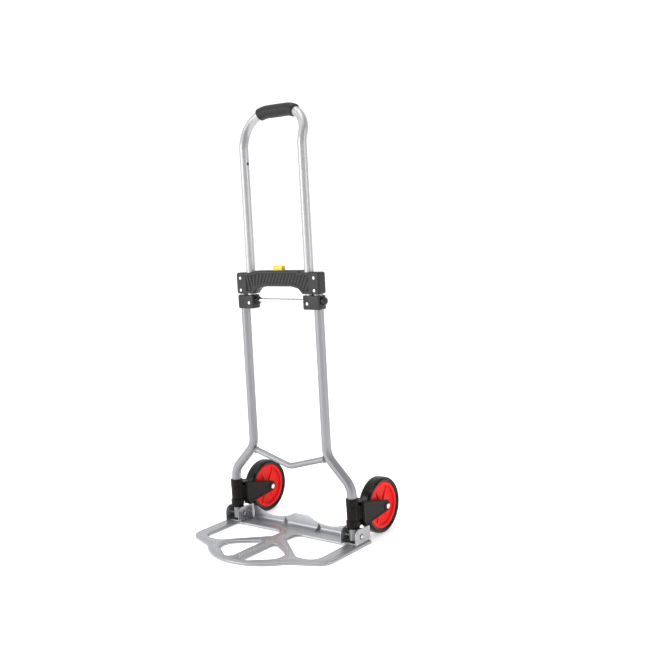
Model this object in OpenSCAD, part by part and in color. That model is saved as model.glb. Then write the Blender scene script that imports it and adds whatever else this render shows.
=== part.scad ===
// Folding hand truck: telescopic handle, hinged toe plate and swing-in wheels.
// Frame: X to the right, Y to the back, Z up; the floor is Z = 0 and the tubes stand on Y = 0.

/* [Tubes] */
// Diameter of the frame and handle tubes
tube_d = 25; // [24:0.5:25]
// Wall of the tubes
tube_wall = 1.5; // [1:0.1:2.5]
// Centre distance of the two tube feet
foot_pitch = 408; // [404:1:412]
// Centre distance of the straight upper frame tubes
lower_pitch = 257; // [257:1:258]
// Centre distance of the handle tubes
handle_pitch = 204; // [203:1:204]
// Height where the upper frame bend would have its corner
shoulder_z = 230; // [225:1:240]
// Bend radius of the frame tubes
bend_r = 55; // [45:1:60]
// Height of the tube feet above the floor
foot_z = 16; // [16:0.5:18]
// Diameter of the brace between the frame tubes
brace_d = 16; // [12:1:20]
// Height of the brace at its middle
brace_z = 186; // [180:1:190]
// Slope of the brace's legs in degrees
brace_slope = 15.4; // [14:0.1:17]

/* [Handle] */
// Height of the handle's centre line at the top
handle_z = 1147; // [1140:1:1200]
// Backward lean of the handle's bow in degrees
lean = 18.5; // [10:0.5:22]
// Bend radius of the handle's corners
bow_r = 70; // [60:1:72]
// Length of the foam grip along its middle
grip_len = 130; // [100:1:150]
// Outer diameter of the foam grip
grip_d = 36; // [32:1:40]
// Travel of the handle
handle_travel = 316; // [200:1:316]

/* [Crossbar] */
// Height of the crossbar's lower edge at its ends
bar_z = 658; // [650:1:660]
// Height of the crossbar at its ends
bar_h = 58; // [56:1:60]
// Half width of the crossbar
bar_x = 144.5; // [144:0.5:148]
// Half depth of the crossbar
bar_y = 15.5; // [15.5:0.5:18]
// Travel of the release button
button_travel = 6; // [3:0.5:6]

/* [Toe plate] */
// Half width of the toe plate
plate_x = 234; // [233:1:236]
// Height of the plate's top face
plate_z = 8; // [8:0.5:8]
// Thickness of the plate's sheet
sheet = 2; // [1.5:0.5:2]
// Height of the flange along the plate's back edge
flange_z = 42; // [38:1:44]
// Height of the hinge pins
pin_z = 27; // [27:0.5:27]

/* [Wheels] */
// Wheel diameter
wheel_d = 150; // [148:1:150]
// Tyre width
wheel_w = 34; // [30:1:34]
// Distance of the axle behind the tube's centre line
axle_y = 120; // [120:0.5:122]
// Gap between the tyres and the floor while the toe plate rests on it
wheel_gap = 1; // [1:0.5:2]

/* [Hidden] */
$fn = 96;

tube_r = tube_d / 2;
bore_r = tube_r - tube_wall;
foot_x = foot_pitch / 2;
lower_x = lower_pitch / 2;
upper_x = handle_pitch / 2;
running = 0.05;                              // radial clearance of pins and bushes
sliding = 0.1;                               // radial clearance of tubes in plastic

tangent = bend_r * tan(22.5);                // from a 45 degree corner to where its bend starts
ankle_z = shoulder_z - (foot_x - lower_x);   // corner of the lower frame bend
tube_top = bar_z + bar_h - 8;                // the frame tubes end under the crossbar's roof

hump = 5;                                    // rise of the crossbar's middle over its ends
hump_x = 76;
roof_z = bar_z + bar_h + hump;
bush_r = tube_r + 1.3;
rivet_r = 2.5;
rivet_head_r = 4.2;
rivet_head_h = 1.8;
bar_rivet_z = [bar_z + 10, bar_z + 43];

lock_z = bar_z + 37;                         // height of the lock pins
lock_r = 4;
lock_x = upper_x - tube_r - 0.5;             // noses of the lock pins, just clear of the handle
cam_stud_x = 24;
stud_r = 2;
cam_half = 1.5;
pin_head_x = 19;                             // inner end of a lock pin's forked head
pin_stem_x = 36;
pin_stop_x = 58;
button_x = 17;
button_y = 7.5;
button_top = roof_z + 12;
button_foot = roof_z - 6;
cavity_z = bar_z + 23;

block_x = [upper_x - tube_r - 2.5, lower_x + tube_r + 1.5];
block_y = 15;
block_z = [bar_z - 41, bar_z - 3];
block_rivet_z = bar_z - 25;
leg_z = block_z[0] + 3;                      // lower ends of the handle tube
rod_z = bar_z - 18.5;
rod_r = 5.5;
boss_r = 10.5;
boss_len = 11;
knob_len = 12;

lean_r = 60;
bow_start = 1050;                            // height where the handle starts to lean
bow_leg = (handle_z - bow_start - lean_r * sin(lean)) / cos(lean) - bow_r;
bow_half = upper_x - bow_r;

upper_collar_r = 16.8;
lower_collar_r = 18.4;
lower_collar_z = [46, 68];
upper_collar_z = [104, 125.5];
knuckle_r = 16.2;
gap = 0.3;                                   // axial gap between parts that turn on each other

wheel_r = wheel_d / 2;
axle_z = wheel_r + wheel_gap;
axle_r = 4;
rim_r = 62;
rim_in = 52;                                 // bore of the rim's outer ring
disc_half = 8;
arm_in = 20;
arm_out = 28.8;
arm_web = 42;                                // back of the web between the arms
spring_pocket = 9.5;
hub_half = 18;
bush_out = 7;

pin_r = 4;
plate_back = 38;
flange_x = 176;
gusset_x = 59;
ear_in = 22.4;
ear_out = 24.4;
ear_back = 39;
stop_h = 35;                                 // height of the web behind the tube foot

silver = [0.72, 0.73, 0.75];
zinc = [0.68, 0.69, 0.71];
plate_grey = [0.62, 0.63, 0.66];
black = [0.17, 0.17, 0.17];
red = [0.85, 0.12, 0.11];
yellow = [0.96, 0.86, 0.18];
chrome = [0.88, 0.88, 0.9];

// Outlines: a corner is [x, y, radius], counted anticlockwise

bar_outline = [
  [-hump_x, roof_z, 4], [-hump_x - 7, bar_z + bar_h, 4], [-bar_x, bar_z + bar_h, 5], [-bar_x, bar_z, 5],
  [-86, bar_z, 3.5], [-73, bar_z + 14, 16], [-48, bar_z + 20, 30],
  [48, bar_z + 20, 30], [73, bar_z + 14, 16], [86, bar_z, 3.5],
  [bar_x, bar_z, 5], [bar_x, bar_z + bar_h, 5], [hump_x + 7, bar_z + bar_h, 4], [hump_x, roof_z, 4]
];
block_outline = [
  [block_x[0], block_z[0], 4], [block_x[1], block_z[0], 4.5], [block_x[1], block_z[1], 4],
  [block_x[0], block_z[1], 4]
];
plate_outline = [
  [0, -322, 180], [139, -194, 80], [plate_x, -156, 42], [plate_x, plate_back, 4],
  [-plate_x, plate_back, 4], [-plate_x, -156, 42], [-139, -194, 80]
];
rear_opening = [[25, -16, 22], [25, -62, 12], [134, -153, 30], [192, -153, 28], [192, -16, 10]];
front_opening = [[20, -100, 9], [20, -245, 14], [129, -170, 37]];
ear_outline = [[-27, plate_z, 3], [ear_back, plate_z, 0], [ear_back, 47, 3], [-27, 50, 18]];
arm_outline = [[13, 62, 2], [20, 54, 2], [48, 54, 8], [133.5, 63.5, 12.2], [133.5, 88.5, 12.2], [13, 118, 3]];
web_outline = [
  [-12, -4, 0], [12, -4, 0], [17.5, 8, 1], [18, 12.6, 0.5], [arm_out, 14.5, 1], [arm_out, arm_web, 0],
  [-arm_out, arm_web, 0], [-arm_out, 14.5, 1], [-18, 12.6, 0.5], [-17.5, 8, 1]
];

// ---- rounding of outlines ----

function xy(p) = [p[0], p[1]];
function unit(v) = v / norm(v);
function turned_right(v) = [v[1], -v[0]];

function corner(a, b, c, step) =
  let (
    u = unit(xy(a) - xy(b)),
    v = unit(xy(c) - xy(b)),
    half = acos(u * v) / 2,
    r = b[2],
    centre = xy(b) + unit(u + v) * r / sin(half),
    start = xy(b) + u * r / tan(half) - centre,
    first = atan2(start[1], start[0]),
    sweep = sign(cross(-u, v)) * (180 - 2 * half),
    n = max(1, ceil(abs(sweep) / step))
  )
  r <= 0 ? [xy(b)] : [for (i = [0:n]) centre + r * [cos(first + sweep * i / n), sin(first + sweep * i / n)]];

function rounded(pts, step = 9) =
  let (n = len(pts))
  [for (i = [0:n - 1]) each corner(pts[(i + n - 1) % n], pts[i], pts[(i + 1) % n], step)];

// The same outline moved out by d, or in where d is negative
function grown(pts, d) =
  let (n = len(pts))
  [for (i = [0:n - 1])
    let (
      e = unit(xy(pts[i]) - xy(pts[(i + n - 1) % n])),
      f = unit(xy(pts[(i + 1) % n]) - xy(pts[i])),
      p = turned_right(e),
      q = turned_right(f),
      at = xy(pts[i]) + d * (p + q) / (1 + p * q)
    )
    [at[0], at[1], max(0, pts[i][2] + d * sign(cross(e, f)))]];

function box_outline(x, y, r) = [[-x, -y, r], [x, -y, r], [x, y, r], [-x, y, r]];

// ---- shared shapes ----

// Upright shape turned so that its axis runs along X, Y or to the right of the XZ plane
module along_x() { rotate([0, 90, 0]) children(); }
module along_y() { rotate([-90, 0, 0]) children(); }
module upright_xz() { rotate([90, 0, 0]) children(); }
module upright_yz() { rotate([90, 0, 90]) children(); }
module mirrored_pair() { for (m = [0, 1]) mirror([m, 0, 0]) children(); }
module left_or_right(side) { mirror([side < 0 ? 1 : 0, 0, 0]) children(); }

// Ring around Z between two heights
module ring(r_out, r_in, z0, z1) {
  translate([0, 0, z0]) difference() {
    cylinder(r = r_out, h = z1 - z0);
    translate([0, 0, -1]) cylinder(r = r_in, h = z1 - z0 + 2);
  }
}

// Hollow tube along Z, and a tube bend of radius r in the XZ plane around the origin, from angle a0 over da
module tube_section(outer, inner) {
  difference() {
    circle(r = outer);
    circle(r = inner);
  }
}
module pipe(h, outer = tube_r, inner = bore_r) { linear_extrude(h) tube_section(outer, inner); }
module pipe_bend(r, a0, da, outer = tube_r, inner = bore_r) {
  upright_xz() rotate([0, 0, a0]) rotate_extrude(angle = da) translate([r, 0]) tube_section(outer, inner);
}

// Rivet along Y with a low dome on both ends
module rivet(half_len) {
  along_y() translate([0, 0, -half_len]) cylinder(r = rivet_r, h = 2 * half_len);
  for (m = [0, 1]) mirror([0, m, 0]) translate([0, half_len, 0]) along_y() dome(rivet_head_r, rivet_head_h);
}

// Holes along Y for rivets on both sides of the truck
module rivet_holes(x, heights) {
  mirrored_pair() for (z = heights) translate([x, -20, z]) along_y() cylinder(r = rivet_r, h = 40);
}

// Low dome that stands on Z = 0
module dome(r, h) {
  rotate_extrude() polygon(concat([[0, 0], [r, 0]],
    [for (a = [10:10:90]) [r * cos(a), h * 0.35 + h * 0.65 * sin(a)]]));
}

// Round wire wound into a coil along Z
module coil(r, wire, length, turns) {
  steps = 14 * turns;
  sides = 6;
  rings = [for (i = [0:steps])
    let (a = 360 * turns * i / steps, z = wire + (length - 2 * wire) * i / steps)
    [for (k = [0:sides - 1])
      let (b = 360 * k / sides)
      [(r + wire * cos(b)) * cos(a), (r + wire * cos(b)) * sin(a), z + wire * sin(b)]]];
  walls = [for (i = [0:steps - 1], k = [0:sides - 1])
    let (p = i * sides + k, q = i * sides + (k + 1) % sides)
    each [[p, p + sides, q], [q, p + sides, q + sides]]];
  first = [for (k = [0:sides - 1]) k];
  last = [for (k = [sides - 1:-1:0]) steps * sides + k];
  polyhedron([for (row = rings) each row], concat(walls, [first, last]), convexity = 10);
}

// ---- frame ----

module frame_tube(side) {
  bend_in = bend_r * (1 - cos(45));
  bend_up = bend_r * sin(45);
  diagonal = (foot_x - lower_x) * sqrt(2) - 2 * tangent;
  z1 = ankle_z - tangent;
  z2 = shoulder_z + tangent;
  color(silver) left_or_right(side) difference() {
    union() {
      translate([foot_x, 0, foot_z]) pipe(z1 - foot_z);
      translate([foot_x - bend_r, 0, z1]) pipe_bend(bend_r, 0, 45);
      translate([foot_x - bend_in, 0, z1 + bend_up]) rotate([0, -45, 0]) pipe(diagonal);
      translate([lower_x + bend_r, 0, z2]) pipe_bend(bend_r, 180, 45);
      translate([lower_x, 0, z2]) pipe(tube_top - z2);
    }
    translate([foot_x - 20, 0, pin_z]) along_x() cylinder(r = pin_r + running, h = 40);
    rivet_holes(lower_x, bar_rivet_z);
  }
}

// Two straight legs that meet at the centre plane, each coped where it reaches the frame's upper bend
module frame_brace() {
  bend_axis = [lower_x + bend_r, shoulder_z + tangent];
  u = [cos(brace_slope), sin(brace_slope)];
  w = bend_axis - [0, brace_z];
  along = w * u;
  reach = along - sqrt((bend_r + tube_r) ^ 2 + along ^ 2 - w * w);
  normal = unit(w - reach * u);
  cope = bend_axis - bend_r * normal;
  color(silver) mirrored_pair() difference() {
    translate([0, 0, brace_z]) rotate([0, 90 - brace_slope, 0]) translate([0, 0, -brace_d])
      cylinder(d = brace_d, h = brace_d + reach + tube_r);
    translate([-2 * brace_d, -brace_d, brace_z - 2 * brace_d]) cube([2 * brace_d, 2 * brace_d, 4 * brace_d]);
    translate([cope[0], 0, cope[1]]) rotate([0, -atan2(normal[1], normal[0]), 0]) {
      translate([0, 0, -2 * brace_d]) cylinder(r = tube_r, h = 4 * brace_d);
      translate([0, -2 * brace_d, -2 * brace_d]) cube(4 * brace_d);
    }
  }
}

// ---- crossbar ----

module crossbar_body() {
  wall = 2.5;
  room_x = 84;
  web_x = 43;
  web = 3;
  foot_room = 3.3;
  difference() {
    intersection() {
      translate([0, bar_y, 0]) upright_xz() linear_extrude(2 * bar_y) polygon(rounded(bar_outline));
      translate([0, 0, bar_z - 1]) linear_extrude(bar_h + hump + 2)
        polygon(rounded(box_outline(bar_x, bar_y, 7)));
    }
    // room for the button and the lock pins
    difference() {
      translate([-room_x, wall - bar_y, cavity_z]) cube([2 * room_x, 2 * (bar_y - wall), bar_h - 26]);
      mirrored_pair() translate([web_x, -bar_y, cavity_z - 1]) cube([web, 2 * bar_y, bar_h]);
    }
    translate([3 - web_x, wall - bar_y, lock_z + 5])
      cube([2 * (web_x - 3), 2 * (bar_y - wall), button_foot + foot_room - lock_z - 5]);
    translate([-button_x - gap, -button_y - gap, button_foot])
      cube([2 * (button_x + gap), 2 * (button_y + gap), 20]);
    mirrored_pair() {
      translate([web_x - 3, 0, lock_z]) along_x() cylinder(r = lock_r + sliding, h = upper_x - web_x + 3);
      translate([upper_x, 0, bar_z - 1]) cylinder(r = bush_r, h = bar_h + 2);
      translate([lower_x, 0, bar_z - 1]) cylinder(r = tube_r, h = tube_top - bar_z + 1);
      translate([upper_x + 10, -3.5, bar_z - 1]) cube([7, 7, bar_h + 2]);
    }
    rivet_holes(lower_x, bar_rivet_z);
  }
}

module crossbar_front_shell() {
  color(black) intersection() {
    crossbar_body();
    translate([-200, -40, bar_z - 10]) cube([400, 40, 100]);
  }
}

module crossbar_rear_shell() {
  color(black) intersection() {
    crossbar_body();
    translate([-200, 0, bar_z - 10]) cube([400, 40, 100]);
  }
}

module crossbar_rivets() {
  color(chrome) mirrored_pair() for (z = bar_rivet_z) translate([lower_x, 0, z]) rivet(bar_y);
}

module guide_bushes() {
  color(black) mirrored_pair() difference() {
    translate([upper_x, 0, 0]) ring(bush_r, tube_r + running, bar_z + 1, bar_z + bar_h - 1);
    translate([upper_x - 20, 0, lock_z]) along_x() cylinder(r = lock_r + sliding, h = 20);
  }
}

// ---- release button and lock pins ----

// Slanted slot for a lock pin's stud
module cam_slot() {
  r = stud_r + sliding;
  for (at = [[cam_stud_x, lock_z], [cam_stud_x - button_travel, lock_z + button_travel]])
    translate([at[0], 5, at[1]]) upright_xz() cylinder(r = r, h = 10);
  translate([cam_stud_x, 0, lock_z]) rotate([0, -45, 0])
    translate([-r, -5, 0]) cube([2 * r, 10, button_travel * sqrt(2)]);
}

module release_button() {
  foot = button_foot;
  color(yellow) difference() {
    union() {
      translate([0, 0, foot]) linear_extrude(button_top - foot - 2)
        polygon(rounded(box_outline(button_x, button_y, 3)));
      translate([0, 0, button_top - 2]) linear_extrude(2)
        polygon(rounded(box_outline(button_x - 1, button_y - 1, 2.5)));
      translate([-20.5, -10, foot]) cube([41, 20, 3]);
      mirrored_pair() difference() {
        translate([0, cam_half, 0]) upright_xz() linear_extrude(2 * cam_half)
          polygon([[8, foot + 1], [8, lock_z - 6], [29, lock_z - 6], [29, lock_z + 9], [20, foot + 1]]);
        cam_slot();
      }
    }
    translate([0, 0, foot - 1]) cylinder(r = 5.5, h = 13);
  }
}

module button_spring() {
  color(chrome) translate([0, 0, cavity_z]) coil(4.2, 0.6, button_foot + 12 - cavity_z, 9);
}

module lock_pin(side) {
  color(chrome) left_or_right(side) {
    translate([pin_stem_x, 0, lock_z]) along_x() cylinder(r = lock_r, h = lock_x - pin_stem_x);
    translate([pin_stop_x, 0, lock_z]) along_x() cylinder(r = 6.5, h = 2);
    difference() {
      translate([pin_head_x, -5, lock_z - 5]) cube([pin_stem_x + 4 - pin_head_x, 10, 10]);
      translate([pin_head_x - 1, -cam_half - gap, lock_z - 6])
        cube([pin_stem_x + 2.5 - pin_head_x, 2 * (cam_half + gap), 12]);
    }
    translate([cam_stud_x, -5, lock_z]) along_y() cylinder(r = stud_r, h = 10);
  }
}

module pin_spring(side) {
  color(chrome) left_or_right(side) translate([46, 0, lock_z]) along_x() coil(5.3, 0.5, 12, 5);
}

// ---- handle ----

// The bow's own frame: leaning plane, Z along the leaning legs
module in_bow() {
  translate([0, lean_r * (1 - cos(lean)), bow_start + lean_r * sin(lean)]) rotate([-lean, 0, 0]) children();
}

module handle_tube() {
  color(silver) difference() {
    union() {
      mirrored_pair() {
        translate([upper_x, 0, leg_z]) pipe(bow_start - leg_z);
        translate([upper_x, lean_r, bow_start]) rotate([0, 0, 90]) pipe_bend(lean_r, 180, -lean);
        in_bow() translate([upper_x, 0, 0]) pipe(bow_leg);
        in_bow() translate([bow_half, 0, bow_leg]) pipe_bend(bow_r, 0, 90);
      }
      in_bow() translate([-bow_half, 0, bow_leg + bow_r]) along_x() pipe(2 * bow_half);
    }
    rivet_holes(upper_x, [block_rivet_z]);
    mirrored_pair() for (z = [lock_z, lock_z + handle_travel])
      translate([upper_x - 20, 0, z]) along_x() cylinder(r = lock_r + 0.3, h = 20);
  }
}

// Foam sleeve in three lengths that lie a hair apart
module handle_grip() {
  arc = (grip_len / 2 - bow_half) / bow_r * 180 / PI;
  seam = 0.002;
  half = bow_half - seam;
  color(black) in_bow() {
    translate([-half, 0, bow_leg + bow_r]) along_x() pipe(2 * half, grip_d / 2, tube_r);
    mirrored_pair() translate([bow_half, 0, bow_leg]) pipe_bend(bow_r, 90 - arc, arc, grip_d / 2, tube_r);
  }
}

module slide_block(side) {
  color(black) left_or_right(side) difference() {
    translate([0, block_y, 0]) upright_xz() linear_extrude(2 * block_y) polygon(rounded(block_outline));
    translate([upper_x, 0, leg_z]) cylinder(r = tube_r, h = 50);
    translate([lower_x, 0, block_z[0] - 1]) cylinder(r = tube_r + sliding, h = 50);
    translate([upper_x, -20, block_rivet_z]) along_y() cylinder(r = rivet_r, h = 40);
  }
}

module block_rivets() {
  color(chrome) mirrored_pair() translate([upper_x, 0, block_rivet_z]) rivet(block_y);
}

module hook_rod() {
  color(chrome) translate([-block_x[0], 0, rod_z]) along_x() cylinder(r = rod_r, h = 2 * block_x[0]);
}

// Toothed boss on the inner face of the left block
module rod_boss() {
  teeth = 6;
  color(black) mirror([1, 0, 0]) translate([block_x[0] - boss_len, 0, rod_z]) along_x() difference() {
    ring(boss_r, rod_r, 0, boss_len);
    for (i = [0:teeth - 1]) rotate([0, 0, (i + 0.5) * 360 / teeth])
      translate([rod_r + 1.5, -2, -1]) cube([10, 4, 6]);
  }
}

// Knob on the outer face of the right block
module side_knob() {
  color(black) translate([block_x[1], 0, rod_z]) along_x()
    rotate_extrude() polygon(rounded([[0, 0, 0], [boss_r, 0, 0], [boss_r, knob_len, 5], [0, knob_len, 0]]));
}

// ---- toe plate ----

module plate_openings(d, h) {
  mirrored_pair() for (o = [rear_opening, front_opening])
    linear_extrude(h) polygon(rounded(grown(o, d)));
}

module toe_plate() {
  dip_r = 144;
  dip_x = 94;
  dip_z = 24;
  color(plate_grey) {
    difference() {
      union() {
        linear_extrude(plate_z) polygon(rounded(plate_outline));
        translate([-flange_x, plate_back - sheet, 1]) cube([2 * flange_x, sheet, flange_z - 1]);
      }
      translate([0, 0, -1]) linear_extrude(plate_z - sheet + 1) difference() {
        polygon(rounded(grown(plate_outline, -sheet)));
        mirrored_pair() for (o = [rear_opening, front_opening]) polygon(rounded(grown(o, sheet)));
      }
      translate([0, 0, -1]) plate_openings(0, plate_z + 2);
      mirrored_pair() translate([dip_x, 20, dip_z + dip_r]) along_y() cylinder(r = dip_r, h = 40, $fn = 180);
      mirrored_pair() for (s = [-1, 1]) translate([foot_x + 12 * s, 28, -1]) cylinder(r = rivet_r, h = 20);
    }
    for (s = [-1, 1]) translate([s * gusset_x - 3, 0, 0]) upright_yz() linear_extrude(6)
      polygon([[plate_back - sheet, plate_z], [plate_back - sheet, plate_z + 9], [20, plate_z]]);
  }
}

module clevis(side) {
  base_front = -16;
  color(zinc) left_or_right(side) translate([foot_x, 0, 0]) difference() {
    union() {
      for (x = [-ear_out, ear_in]) translate([x, 0, 0]) upright_yz() linear_extrude(ear_out - ear_in)
        polygon(rounded(ear_outline));
      translate([-ear_out, base_front, plate_z]) cube([2 * ear_out, ear_back - base_front, 2]);
      translate([-ear_out, ear_back - 2, plate_z]) cube([2 * ear_out, 2, stop_h - plate_z]);
    }
    translate([-30, 0, pin_z]) along_x() cylinder(r = pin_r, h = 60);
    for (s = [-1, 1]) translate([12 * s, 28, 0]) cylinder(r = rivet_r, h = 20);
  }
}

module clevis_rivets() {
  color(chrome) mirrored_pair() for (s = [-1, 1]) translate([foot_x + 12 * s, 28, 0]) {
    translate([0, 0, plate_z - sheet]) cylinder(r = rivet_r, h = sheet + 2);
    translate([0, 0, plate_z + 2]) dome(rivet_head_r, rivet_head_h);
    translate([0, 0, plate_z - sheet]) mirror([0, 0, 1]) dome(rivet_head_r, rivet_head_h);
  }
}

module hinge_pin(side) {
  color(chrome) left_or_right(side) translate([foot_x, 0, pin_z]) {
    translate([-ear_out, 0, 0]) along_x() cylinder(r = pin_r, h = 2 * ear_out);
    for (m = [0, 1]) mirror([m, 0, 0]) translate([ear_out, 0, 0]) along_x() dome(6.5, 2.4);
  }
}

// ---- wheel forks ----

module upper_collar(side) {
  z = upper_collar_z;
  color(black) left_or_right(side) translate([foot_x, 0, 0])
    rotate_extrude() polygon([[tube_r, z[0]], [upper_collar_r, z[0]], [upper_collar_r, z[1] - 1.5],
      [upper_collar_r - 1.5, z[1]], [tube_r, z[1]]]);
}

module lower_collar(side) {
  z = lower_collar_z;
  teeth = 10;
  color(black) left_or_right(side) translate([foot_x, 0, 0]) difference() {
    rotate_extrude() polygon([[tube_r, z[0]], [lower_collar_r - 2.4, z[0]], [lower_collar_r, z[0] + 7],
      [lower_collar_r, z[1] - 1], [lower_collar_r - 1, z[1]], [tube_r, z[1]]]);
    for (i = [0:teeth - 1]) rotate([0, 0, (i + 0.5) * 360 / teeth])
      translate([tube_r + 1, -1.6, z[0] - 1]) cube([10, 3.2, 3.5]);
  }
}

module wheel_fork(side) {
  z0 = lower_collar_z[1] + gap;
  z1 = upper_collar_z[0] - gap;
  color(black) left_or_right(side) translate([foot_x, 0, 0]) difference() {
    union() {
      translate([0, 0, z0]) cylinder(r = knuckle_r, h = z1 - z0);
      translate([0, 0, z0]) linear_extrude(z1 - z0) polygon(rounded(web_outline));
      translate([-arm_out, 20, 60]) cube([2 * arm_out, arm_web - 20, 52]);
      for (x = [-arm_out, arm_in]) translate([x, 0, 0]) upright_yz() linear_extrude(arm_out - arm_in)
        polygon(rounded(arm_outline));
    }
    translate([0, 0, 40]) cylinder(r = tube_r + sliding, h = 90);
    translate([0, 0, z1 - spring_pocket]) cylinder(r = tube_r + 2.8, h = 20);
    translate([0, 0, 40]) cylinder(r = lower_collar_r + 1, h = z0 - 40);
    translate([0, 0, z1]) cylinder(r = lower_collar_r + 1, h = 30);
    translate([-arm_in, axle_y, axle_z]) along_x() cylinder(r = wheel_r + 4, h = 2 * arm_in);
    translate([-40, axle_y, axle_z]) along_x() cylinder(r = axle_r, h = 80);
  }
}

module fold_cam(side) {
  half = 12;
  color(black) left_or_right(side) translate([foot_x, 0, 0]) difference() {
    union() {
      translate([-half, 33, 50]) cube([2 * half, 8, 10]);
      translate([-half, 41, 41]) cube([2 * half, 5, 16]);
    }
    for (x = [-6, 2]) translate([x, 40, 40]) cube([4, 8, 5]);
  }
}

module fold_spring(side) {
  z1 = upper_collar_z[0] - gap;
  color(chrome) left_or_right(side) translate([foot_x, 0, z1 - spring_pocket + 0.3])
    coil(tube_r + 1.5, 0.7, spring_pocket - 0.6, 4);
}

module axle(side) {
  color(chrome) left_or_right(side) translate([foot_x, axle_y, axle_z]) {
    translate([-arm_out, 0, 0]) along_x() cylinder(r = axle_r, h = 2 * arm_out);
    for (m = [0, 1]) mirror([m, 0, 0]) translate([arm_out, 0, 0]) along_x() dome(6.5, 3);
  }
}

module axle_washers(side) {
  play = 0.2;
  thick = arm_in - hub_half - 2 * play;
  color(chrome) left_or_right(side) translate([foot_x, axle_y, axle_z]) for (x = [-arm_in, hub_half])
    translate([x + play, 0, 0]) along_x() ring(9, axle_r + running, 0, thick);
}

// ---- wheels ----

module at_wheel(side) {
  left_or_right(side) translate([foot_x, axle_y, axle_z]) along_x() children();
}

module tyre(side) {
  half = wheel_w / 2;
  color(black) at_wheel(side) rotate_extrude() polygon(rounded([
    [rim_r, -14, 0], [rim_r + 3, -half, 1.5], [wheel_r, -half, 8],
    [wheel_r, half, 8], [rim_r + 3, half, 1.5], [rim_r, 14, 0]
  ]));
}

module rim(side) {
  ribs = 6;
  color(red) at_wheel(side) difference() {
    union() {
      ring(rim_r, rim_in, -14, 14);
      ring(rim_in + 2, 10, -disc_half, disc_half);
      ring(13, 5, -hub_half, hub_half);
      for (i = [0:ribs - 1]) rotate([0, 0, i * 360 / ribs])
        translate([10, -2, -11]) cube([rim_in - 9, 4, 22]);
    }
    translate([0, 0, -30]) cylinder(r = bush_out, h = 60);
  }
}

module hub_bush(side) {
  color(black) at_wheel(side) ring(bush_out, axle_r + running, -hub_half, hub_half);
}

frame_tube(-1);  // frame_tube_left
frame_tube(1);  // frame_tube_right
frame_brace();
crossbar_front_shell();
crossbar_rear_shell();
crossbar_rivets();
guide_bushes();
button_spring();
pin_spring(-1);  // pin_spring_left
pin_spring(1);  // pin_spring_right
upper_collar(-1);  // upper_collar_left
upper_collar(1);  // upper_collar_right
lower_collar(-1);  // lower_collar_left
lower_collar(1);  // lower_collar_right
release_button();
lock_pin(-1);  // lock_pin_left
lock_pin(1);  // lock_pin_right
handle_tube();
handle_grip();
slide_block(-1);  // slide_block_left
slide_block(1);  // slide_block_right
block_rivets();
hook_rod();
rod_boss();
side_knob();
toe_plate();
clevis(-1);  // clevis_left
clevis(1);  // clevis_right
clevis_rivets();
hinge_pin(-1);  // hinge_pin_left
hinge_pin(1);  // hinge_pin_right
wheel_fork(-1);  // wheel_fork_left
wheel_fork(1);  // wheel_fork_right
fold_cam(-1);  // fold_cam_left
fold_cam(1);  // fold_cam_right
fold_spring(-1);  // fold_spring_left
fold_spring(1);  // fold_spring_right
axle(-1);  // axle_left
axle(1);  // axle_right
axle_washers(-1);  // axle_washers_left
axle_washers(1);  // axle_washers_right
tyre(-1);  // tyre_left
tyre(1);  // tyre_right
rim(-1);  // rim_left
rim(1);  // rim_right
hub_bush(-1);  // hub_bush_left
hub_bush(1);  // hub_bush_right
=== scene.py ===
import math

import bmesh
import bpy
from mathutils import Matrix, Vector
from mathutils.geometry import tessellate_polygon


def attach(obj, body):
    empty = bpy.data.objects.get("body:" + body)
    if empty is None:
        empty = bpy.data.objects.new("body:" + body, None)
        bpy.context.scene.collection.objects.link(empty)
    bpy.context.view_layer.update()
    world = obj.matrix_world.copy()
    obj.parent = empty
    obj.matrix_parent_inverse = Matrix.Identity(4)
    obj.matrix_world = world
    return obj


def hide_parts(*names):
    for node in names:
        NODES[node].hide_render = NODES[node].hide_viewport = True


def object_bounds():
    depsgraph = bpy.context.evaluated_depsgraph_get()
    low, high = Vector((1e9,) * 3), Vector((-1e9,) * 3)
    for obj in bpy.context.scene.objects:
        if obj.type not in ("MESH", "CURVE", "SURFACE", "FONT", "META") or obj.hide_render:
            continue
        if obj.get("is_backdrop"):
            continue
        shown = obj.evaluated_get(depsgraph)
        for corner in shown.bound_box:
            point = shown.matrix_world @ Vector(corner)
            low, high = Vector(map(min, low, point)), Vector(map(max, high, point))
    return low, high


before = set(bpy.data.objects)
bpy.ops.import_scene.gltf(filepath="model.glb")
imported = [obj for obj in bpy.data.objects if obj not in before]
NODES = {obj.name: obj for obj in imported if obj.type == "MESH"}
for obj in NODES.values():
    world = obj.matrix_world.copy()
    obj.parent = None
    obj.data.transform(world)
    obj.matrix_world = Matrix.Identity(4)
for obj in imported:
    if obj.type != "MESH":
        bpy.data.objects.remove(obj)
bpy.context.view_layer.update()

# Lengths in the shape code are millimetres, in the frame of the CAD model: X right, Y back, Z up.
MM = 0.001
TUBE_R = 12.5
BORE_R = 11.0
FOOT_X = 204.0
LOWER_X = 128.5
UPPER_X = 102.0
BEND_R = 55.0
SHOULDER_Z = 230.0
ANKLE_Z = SHOULDER_Z - (FOOT_X - LOWER_X)
TANGENT = BEND_R * math.tan(math.radians(22.5))
BAR_Z = 658.0
ROD_Z = 639.5
BOW_START = 1050.0
HANDLE_Z = 1147.0
LEAN = math.radians(18.5)
LEAN_R = 60.0
BOW_R = 70.0
# Straight length of the bow's leaning legs, and half of the straight at its top
BOW_LEG = (HANDLE_Z - BOW_START - LEAN_R * math.sin(LEAN)) / math.cos(LEAN) - BOW_R
BOW_HALF = UPPER_X - BOW_R
AXLE = Vector((FOOT_X, 120.0, 76.0))
AXLE_HALF = 28.6
PIN_Z = 27.0
SIDES = {"left": -1, "right": 1}
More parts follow.
